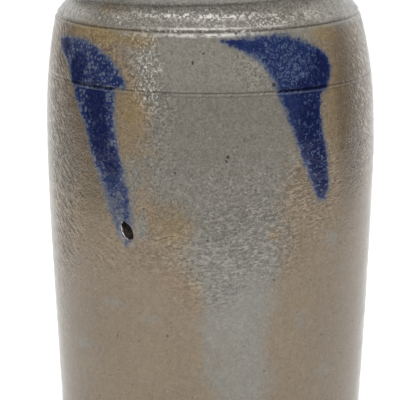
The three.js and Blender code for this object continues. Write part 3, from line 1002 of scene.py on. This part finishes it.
def make_specks():
    """Scattered round specks: a share of the cells holds one, each of its own size."""
    tree, nodes, given, out = node_group("specks", ["Place", "Scale", "Share", "Size"], ["Speck"])
    cell = nodes.add("ShaderNodeTexVoronoi", {"Vector": given["Place"], "Scale": given["Scale"]})
    pick = nodes.add("ShaderNodeSeparateColor", {"Color": cell.outputs["Color"]})
    chosen = nodes.math("LESS_THAN", pick.outputs["Red"], given["Share"])
    size = nodes.product(given["Size"], nodes.ease(pick.outputs["Green"], 0.0, 1.0, 0.4, 1.0))
    edge = nodes.math("DIVIDE", cell.outputs["Distance"], size)
    nodes.give(out["Speck"], nodes.product(nodes.ease(edge, 1.15, 0.7), chosen))
    return tree


def scatter(nodes, specks, place, scale, share, size):
    inputs = {"Place": place, "Scale": scale, "Share": share, "Size": size}
    return nodes.add("ShaderNodeGroup", node_tree=specks, inputs=inputs).outputs[0]


def tooled_line(nodes, height, level, strength, half_width=0.75 * MM):
    """A thin level line, for a groove or a crest."""
    return nodes.ease(nodes.away(height, level), half_width, 0.25 * half_width, 0.0, strength)


def glaze_ground(nodes, place, relief):
    """Colour of the fired clay under its glaze: grey, toasted brown and gold, with painted light and shade,
    and pale painted highlights on the ridges and crests.
    """
    blotch = nodes.noise(place, 55, 3.0, 0.6)
    ragged = nodes.uneven(place, 190, 0.8, 3.0)
    toast = nodes.total(nodes.attribute("toast"), nodes.centred(blotch, 0.9), ragged)
    gold = nodes.product(nodes.attribute("gold"), nodes.ease(blotch, 0.3, 0.55))
    axes = nodes.add("ShaderNodeSeparateXYZ", {0: place}).outputs
    grey = nodes.mix(nodes.ease(axes["Z"], *BELLY_GREY_LEVELS), GREY_LOW, GLAZE_GREY)
    grey = nodes.mix(nodes.ease(axes["Z"], *SHOULDER_GREY_LEVELS), grey, GREY_HIGH)
    colour = nodes.mix(nodes.ease(toast, 0.15, 0.85), grey, GLAZE_BROWN)
    colour = nodes.mix(gold, colour, GLAZE_GOLD)
    bloom = nodes.product(nodes.attribute("bloom"), nodes.ease(blotch, 0.3, 0.6, 0.6, 1.0))
    colour = nodes.mix(bloom, colour, SALT)
    # Painted light and shade multiply the colour: the relief's shade, random tone, smoke and shade, and
    # light by level
    light = nodes.product(
        relief.outputs["Shade"],
        nodes.ease(nodes.noise(place, 300, 3.0, 0.6), 0.3, 0.7, 0.93, 1.06),
        nodes.ease(nodes.noise(place, 18, 2.0), 0.3, 0.7, 0.95, 1.05),
        # Darker for kiln smoke and painted shade
        nodes.ease(nodes.attribute("smoke_and_shade"), 0.0, 1.0, 1.0, 0.64),
        *[nodes.ease(axes["Z"], *change) for change in LIGHT_BY_LEVEL],
    )
    shade = nodes.add("ShaderNodeCombineColor", {0: light, 1: light, 2: light}).outputs[0]
    colour = nodes.tint(1.0, colour, shade)
    level = nodes.total(axes["Z"], nodes.product(axes["X"], -math.tan(SHOULDER_TILT)))
    # Painted shade: the tooled grooves are darkened
    for height, line, strength in (
        (axes["Z"], LINE_Z, 0.7), (axes["Z"], SECOND_LINE_Z, 0.3), (level, SHOULDER_Z, 0.8)
    ):
        colour = nodes.tint(tooled_line(nodes, height, line, strength), colour, GROOVE_SHADE)
    # Painted highlights: broken crest lines at the shoulder beads, a highlight row on the shoulder, pale
    # ridges where the glinting zones say, and a faint pale line under the incised line
    broken = nodes.ease(nodes.noise(place, 420, 2.0, 0.6), 0.36, 0.56)
    upper = tooled_line(nodes, level, UPPER_BEAD_Z, 0.85)
    upper = nodes.product(nodes.ease(broken, 0.0, 1.0, 0.45, 1.0), upper)
    lower = nodes.product(broken, tooled_line(nodes, level, LOWER_CREST_Z, 0.9, 1.5 * MM))
    beads = nodes.ease(nodes.noise(place, 640, 1.0), 0.47, 0.6)
    highlight_row = tooled_line(nodes, level, HIGHLIGHT_ROW_Z, 0.95, 1.3 * MM)
    crest = nodes.most(nodes.most(upper, lower), nodes.product(beads, highlight_row))
    shine = nodes.most(nodes.product(relief.outputs["Ridge"], 0.85), crest)
    pale = nodes.product(shine, nodes.attribute("glint"))
    pale = nodes.most(pale, tooled_line(nodes, axes["Z"], PALE_EDGE_Z, 0.05, 0.5 * MM))
    return nodes.mix(pale, colour, GLINT)


def paint_cobalt(nodes, specks, place, relief, ground):
    """Lays brushed cobalt over the ground: ragged edges, pooled parts, fibres, flecks and a slate foot."""
    inside = nodes.centred(nodes.attribute("cobalt"), COBALT_REACH / MM)
    reach = nodes.total(inside, nodes.uneven(place, 460, 4.4), nodes.uneven(place, 150, 2.0, 1.0, 0.5))
    pooled = nodes.total(nodes.attribute("pooled"), nodes.uneven(place, 300, 0.7))
    wash = nodes.attribute("wash")
    height = nodes.add("ShaderNodeSeparateXYZ", {0: place}).outputs["Z"]
    load = nodes.total(
        nodes.ease(reach, -0.3, 3.4, 0.05, 0.6),
        nodes.product(pooled, 0.55),
        nodes.uneven(place, 95, 0.5),
        nodes.uneven(place, 560, 0.9, distortion=0.6),
        nodes.product(wash, -0.55),
        nodes.product(wash, nodes.uneven(place, 430, 1.8, distortion=0.6)),
        tooled_line(nodes, height, LINE_Z, 0.7, 0.9 * MM),
    )
    blue = nodes.mix(nodes.ease(load, 0.0, 0.4), COBALT_THIN, COBALT)
    blue = nodes.mix(nodes.ease(load, 0.5, 1.0), blue, COBALT_DEEP)
    open_paint = nodes.ease(pooled, 0.0, 1.05, 1.0, 0.1)
    spotted = nodes.attribute("flecks")
    rippled = nodes.ease(nodes.attribute("ripple"), 0.0, 1.0, 0.0, 0.8)
    thin = nodes.total(nodes.product(rippled, 0.12), 0.03)
    fibre = nodes.ease(relief.outputs["Thread"], thin, nodes.total(thin, 0.06))
    shown = nodes.total(nodes.product(open_paint, 0.45), nodes.product(rippled, 0.75), 0.42)
    shown = nodes.product(shown, nodes.ease(spotted, 0.15, 1.0, 0.7, 0.35))
    blue = nodes.mix(nodes.product(fibre, shown), blue, COBALT_FIBRE)
    large = scatter(nodes, specks, place, 400, 1.0, 0.46)
    fleck = nodes.most(large, scatter(nodes, specks, place, 640, 0.8, 0.44))
    margin = nodes.ease(reach, 0.2, 3.0, 0.95, 0.58)
    blue = nodes.mix(nodes.product(fleck, open_paint, spotted, margin), blue, FLECK)
    # Painted highlight: a pale fleck-coloured line on the cobalt under the incised line
    blue = nodes.mix(tooled_line(nodes, height, LIT_EDGE_IN_COBALT_Z, 0.35, 0.6 * MM), blue, FLECK)
    blue = nodes.mix(tooled_line(nodes, height, LINE_Z, 0.85, 0.95 * MM), blue, COBALT_LINE)
    amount = nodes.product(nodes.ease(reach, -0.7, 0.8), nodes.ease(load, -0.2, 0.2, 0.6, 1.0))
    colour = nodes.mix(nodes.ease(reach, -2.6, 0.4, 0.0, 0.75), ground, COBALT_HALO)
    return nodes.mix(amount, colour, blue)


def scorch_and_shade_pit(nodes, place, colour):
    """The stone's pit: burnt dark with painted shade on its right, a pale inner wall painted as lit, and on
    its left a pale glazed lip, a dark edge and a painted glint.
    """
    ragged = nodes.uneven(place, 700, 0.5)
    share = nodes.product(nodes.math("SUBTRACT", 1.0, nodes.attribute("pit")), 2.0)
    rough_share = nodes.total(share, ragged)
    left = nodes.ease(nodes.attribute("pit_side"), 0.62, 0.38)
    dry = nodes.ease(nodes.attribute("pooled"), 0.2, 0.7, 1.0, 0.1)
    lip = nodes.product(nodes.ease(rough_share, 1.8, 1.1), nodes.ease(left, 0.0, 1.0, 0.2, 0.6), dry)
    colour = nodes.mix(lip, colour, PIT_LIP_AND_LIT_WALL)
    # Painted highlight: the pit's inner wall is pale, as if lit
    wall = nodes.ease(share, 1.02, 0.9)
    colour = nodes.mix(nodes.product(wall, 0.8), colour, PIT_LIP_AND_LIT_WALL)
    crack = nodes.ease(nodes.away(rough_share, 0.98), 0.16, 0.04)
    colour = nodes.mix(nodes.product(crack, left, 0.75), colour, PIT_EDGE)
    # Painted glint on the left of the pit's wall
    gleam = nodes.ease(nodes.away(share, 0.86), 0.14, 0.05)
    gleam = nodes.product(gleam, left, nodes.ease(nodes.noise(place, 480, 1.0), 0.45, 0.55))
    colour = nodes.mix(gleam, colour, GLINT)
    # Dark core, burnt and painted shade, reaching further on the right
    core = nodes.math("SUBTRACT", rough_share, nodes.ease(left, 0.0, 1.0, 1.0, 0.75))
    return nodes.mix(nodes.ease(core, 0.12, -0.12), colour, PIT_CORE)


def iron_spots(nodes, place):
    """Spots where a grain of iron in the clay burnt through the glaze."""
    ragged = nodes.uneven(place, 900, 1.4 * MM)
    spots = 0.0
    for angle, height, radius in IRON_SPOTS:
        turn = math.radians(angle)
        z = LINE_Z + height * MM
        wall = float(wall_radius(z))
        middle = (wall * math.sin(turn), -wall * math.cos(turn), z)
        away = nodes.add("ShaderNodeVectorMath", {0: place, 1: middle}, operation="DISTANCE")
        edge = nodes.total(away.outputs["Value"], ragged)
        spots = nodes.most(spots, nodes.ease(edge, 1.25 * radius * MM, 0.5 * radius * MM))
    return spots


def make_salt_glaze(grain, specks):
    """The crock's glaze: grey, toasted and gold, with cobalt where it was brushed on."""
    material, nodes = new_material("salt_glaze")
    place = nodes.place()
    relief = nodes.add("ShaderNodeGroup", node_tree=grain)
    nodes.give(relief.inputs["Place"], place)
    nodes.give(relief.inputs["Unrolled"], nodes.add("ShaderNodeUVMap", uv_map="unrolled").outputs[0])
    for name in ("Rough", "Furrow", "Ripple"):
        nodes.give(relief.inputs[name], nodes.attribute(name.lower()))

    colour = glaze_ground(nodes, place, relief)
    # Pale salt specks in the highlight colour, stronger where the painted highlights go: partly salt,
    # partly painted sparkle
    salt = scatter(nodes, specks, place, 270, 0.45, 0.15)
    salt = nodes.product(salt, nodes.ease(nodes.attribute("glint"), 0.0, 0.2, 0.16, 0.34))
    colour = nodes.mix(salt, colour, GLINT)
    colour = paint_cobalt(nodes, specks, place, relief, colour)
    for scale, share, size in ((90, 0.2, 0.075), (300, 0.4, 0.15)):
        dots = scatter(nodes, specks, place, scale, share, size)
        colour = nodes.mix(nodes.product(dots, 0.7), colour, IRON)
    colour = nodes.mix(nodes.product(iron_spots(nodes, place), 0.8), colour, IRON)
    colour = scorch_and_shade_pit(nodes, place, colour)
    bare = nodes.attribute("bare")
    colour = nodes.mix(bare, colour, BARE_CLAY)

    rough = nodes.ease(nodes.noise(place, 90, 2.0), 0.3, 0.7, 0.13, 0.22)
    rough = nodes.total(rough, nodes.product(bare, 0.6))
    painted = nodes.ease(nodes.attribute("cobalt"), 0.5, 0.62)
    melted = nodes.product(nodes.attribute("pooled"), painted)
    height = nodes.product(relief.outputs["Height"], nodes.ease(melted, 0.0, 1.0, 1.0, 0.15))
    facing = nodes.add("ShaderNodeLayerWeight", {"Blend": 0.5}).outputs["Facing"]
    strength = nodes.ease(facing, 0.55, 0.8, 1.0, 0.25)
    inputs = {"Base Color": colour, "Roughness": rough, "IOR": GLAZE_IOR}
    inputs["Specular IOR Level"] = nodes.ease(painted, 0.0, 1.0, 0.5, 0.26)
    nodes.surface(height, GLAZE_RELIEF, strength, inputs)
    return material


def make_brown_slip():
    """Glossy brown slip, thinner and redder where it ran."""
    material, nodes = new_material("brown_slip")
    place = nodes.place()
    flow = nodes.noise(place, 40, 3.0, 0.6, 0.8)
    colour = nodes.mix(nodes.ease(flow, 0.3, 0.7), SLIP_DARK, SLIP_RED)
    fine = nodes.noise(place, 700, 2.0)
    colour = nodes.mix(nodes.ease(fine, 0.6, 0.75), colour, SLIP_SPECK)
    rough = nodes.ease(flow, 0.3, 0.7, 0.14, 0.28)
    nodes.surface(fine, SLIP_RELIEF, 1.0, {"Base Color": colour, "Roughness": rough})
    return material


def make_burnt_iron():
    """Melted iron: near black and rather dull, with rusty patches."""
    material, nodes = new_material("burnt_iron")
    place = nodes.place()
    rust = nodes.noise(place, 520, 3.0, 0.6)
    colour = nodes.mix(nodes.ease(rust, 0.45, 0.7), BURNT_BLACK, RUST)
    rough = nodes.ease(rust, 0.3, 0.7, 0.3, 0.6)
    inputs = {"Base Color": colour, "Roughness": rough, "Specular IOR Level": 0.2}
    nodes.surface(rust, RUST_RELIEF, 1.0, inputs)
    return material


def finish_piece(piece, material, body, slot, *nodes):
    piece.data.materials.clear()
    piece.data.materials.append(material)
    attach(piece, body)
    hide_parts(*nodes)


# Studio

# The pale table ends in front of the crock, so that the upper wall mirrors the dark room before it
FLOOR_FRONT = -0.62
FLOOR_BACK = 6
FLOOR_SIDE = 0.62
FLOOR_COLOUR = (0.82, 0.82, 0.82, 1)
FLOOR_LIFT = 0.55
# Light of the room on the crock, and its darkest and brightest part in a reflection
ROOM_LIGHT = 0.56
ROOM_DARK = 0.05
ROOM_WHITE = 1.0
# A long, narrow lamp above and in front: place, target, width, height and power
STRIP_LAMP = ((0.0, -0.92, 1.23), (0, -0.08, 0.23), 1.9, 0.08, 11)
# The photo's view: lens and sensor in millimetres, place, and turns in degrees
CAMERA_LENS = 225.8
CAMERA_SENSOR = 36
CAMERA_PLACE = (0, -1.300, LINE_Z + 203.8 * MM)
CAMERA_DOWN = 11.95
CAMERA_TURN = 0.2284


def make_floor():
    deselect()
    bpy.ops.mesh.primitive_plane_add(size=8)
    floor = bpy.context.object
    floor.name = "studio_floor"
    points = points_of(floor)
    points[:, 0] = np.sign(points[:, 0]) * FLOOR_SIDE
    points[:, 1] = np.where(points[:, 1] < 0, FLOOR_FRONT, FLOOR_BACK)
    move_points(floor, points)
    material, nodes = new_material("pale_floor")
    seen = nodes.add("ShaderNodeLightPath")
    bright = nodes.most(seen.outputs["Is Camera Ray"], seen.outputs["Is Glossy Ray"])
    bright = nodes.most(bright, seen.outputs["Is Transmission Ray"])
    lift = nodes.add("ShaderNodeEmission", {"Strength": nodes.product(bright, FLOOR_LIFT)})
    matte = nodes.add("ShaderNodeBsdfDiffuse", {"Color": FLOOR_COLOUR})
    both = nodes.add("ShaderNodeAddShader", {0: matte.outputs[0], 1: lift.outputs[0]})
    nodes.give(nodes.add("ShaderNodeOutputMaterial").inputs[0], both.outputs[0])
    floor.data.materials.append(material)


def make_world():
    """White where the camera looks; for reflections white behind the crock and a dark room in front."""
    world = bpy.data.worlds.new("studio")
    bpy.context.scene.world = world
    world.use_nodes = True
    world.node_tree.nodes.clear()
    nodes = Nodes(world.node_tree)
    seen = nodes.add("ShaderNodeLightPath")
    way = nodes.add("ShaderNodeSeparateXYZ", {0: nodes.add("ShaderNodeTexCoord").outputs["Generated"]})
    behind = nodes.total(way.outputs["Y"], nodes.product(way.outputs["X"], 0.15))
    mirrored = nodes.ease(behind, 0.42, 0.84, ROOM_DARK, ROOM_WHITE)
    plain = nodes.most(seen.outputs["Is Camera Ray"], seen.outputs["Is Transmission Ray"])
    light = {0: seen.outputs["Is Glossy Ray"], 2: ROOM_LIGHT, 3: mirrored}
    strength = nodes.add("ShaderNodeMix", light).outputs[0]
    strength = nodes.add("ShaderNodeMix", {0: plain, 2: strength, 3: ROOM_WHITE}).outputs[0]
    sky = nodes.add("ShaderNodeBackground", {"Color": (1, 1, 1, 1), "Strength": strength})
    nodes.give(nodes.add("ShaderNodeOutputWorld").inputs[0], sky.outputs[0])


def make_softbox(name, place, target, width, height, power):
    bpy.ops.object.light_add(type="AREA", location=place)
    lamp = bpy.context.object
    lamp.name = name
    lamp.data.shape = "RECTANGLE"
    lamp.data.size = width
    lamp.data.size_y = height
    lamp.data.energy = power
    way = np.array(target) - np.array(place)
    tip = math.atan2(math.hypot(way[0], way[1]), -way[2])
    lamp.rotation_euler = (tip, 0, math.atan2(-way[0], way[1]))


def make_camera():
    """Long lens, looking slightly down at the front."""
    data = bpy.data.cameras.new("photo_view")
    camera = bpy.data.objects.new("photo_view", data)
    bpy.context.scene.collection.objects.link(camera)
    data.sensor_width = CAMERA_SENSOR
    data.lens = CAMERA_LENS
    camera.location = CAMERA_PLACE
    camera.rotation_euler = (math.radians(90 - CAMERA_DOWN), 0, math.radians(CAMERA_TURN))
    bpy.context.scene.camera = camera


body = make_body()
leaves = [make_leaf(index, body) for index in range(len(LEAVES))]
stone = make_stone()
lining = make_lining()
lid = make_lid()
knob = make_knob()

mark_glaze(body)
for leaf in leaves:
    mark_glaze(leaf)
mark_lid(lid)
mark_lid(knob)

grain = make_salt_grain()
specks = make_specks()
salt_glaze = make_salt_glaze(grain, specks)
brown_slip = make_brown_slip()
burnt_iron = make_burnt_iron()

finish_piece(body, salt_glaze, "crock", "salt_glazed_stoneware", "crock_body")
for index, leaf in enumerate(leaves):
    finish_piece(leaf, salt_glaze, "crock", "cobalt", f"cobalt_leaf_{index + 1}")
finish_piece(stone, burnt_iron, "crock", "iron_stone", "iron_stone")
finish_piece(lining, brown_slip, "crock", "brown_slip", "slip_lining")
finish_piece(lid, salt_glaze, "lid", "lid_stoneware", "lid_disc")
finish_piece(knob, salt_glaze, "lid", "lid_stoneware", "lid_knob")

make_floor()
make_world()
make_softbox("overhead_strip", *STRIP_LAMP)
make_camera()
bpy.context.scene.view_settings.view_transform = "Standard"
